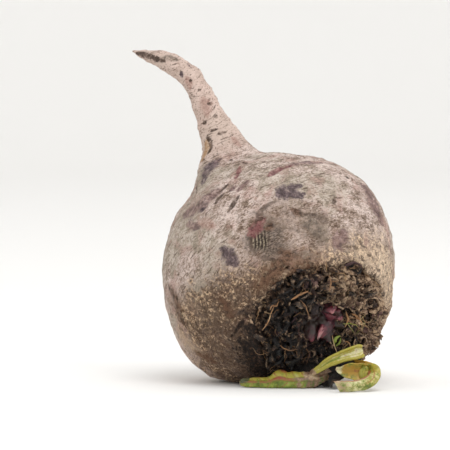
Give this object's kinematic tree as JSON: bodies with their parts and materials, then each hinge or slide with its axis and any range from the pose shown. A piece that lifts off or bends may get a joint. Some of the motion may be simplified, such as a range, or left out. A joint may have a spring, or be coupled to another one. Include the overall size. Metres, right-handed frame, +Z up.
{
  "type": "beetroot",
  "caption": "Fresh round beetroot lying on its side, with a long bent taproot, a rough dark crown of dead leaf bases, pink buds and short young leaves.",
  "frame": {"origin": "middle of the small flat spot that the root rests on, on the surface below it and under the centre of the round body", "axes": "+Z up from the surface; the crown faces -Y, turned towards +X and down; the taproot leaves at the top towards -X"},
  "size_m": [0.1022, 0.0997, 0.128],
  "materials": {
    "root_skin": "dry corky greyish pink-tan skin with dark specks, slate-purple patches and brown scurf round the crown",
    "dead_leaf": "dark brown to black, dry and flaky, with pale frayed fibres",
    "bud_flesh": "fresh pink-red to brownish pink, slightly moist",
    "young_leaf": "fresh yellow-green with red veins, browner where it withers",
    "leaf_stalk": "fresh yellow-green with a pale pink-white channel"
  },
  "bodies": {
    "root": {"root": "root_skin", "crown": "dead_leaf", "heart_buds": "bud_flesh", "leaf_long": "young_leaf", "leaf_stalk": "leaf_stalk", "leaf_curled": "young_leaf"}
  },
  "joints": []
}
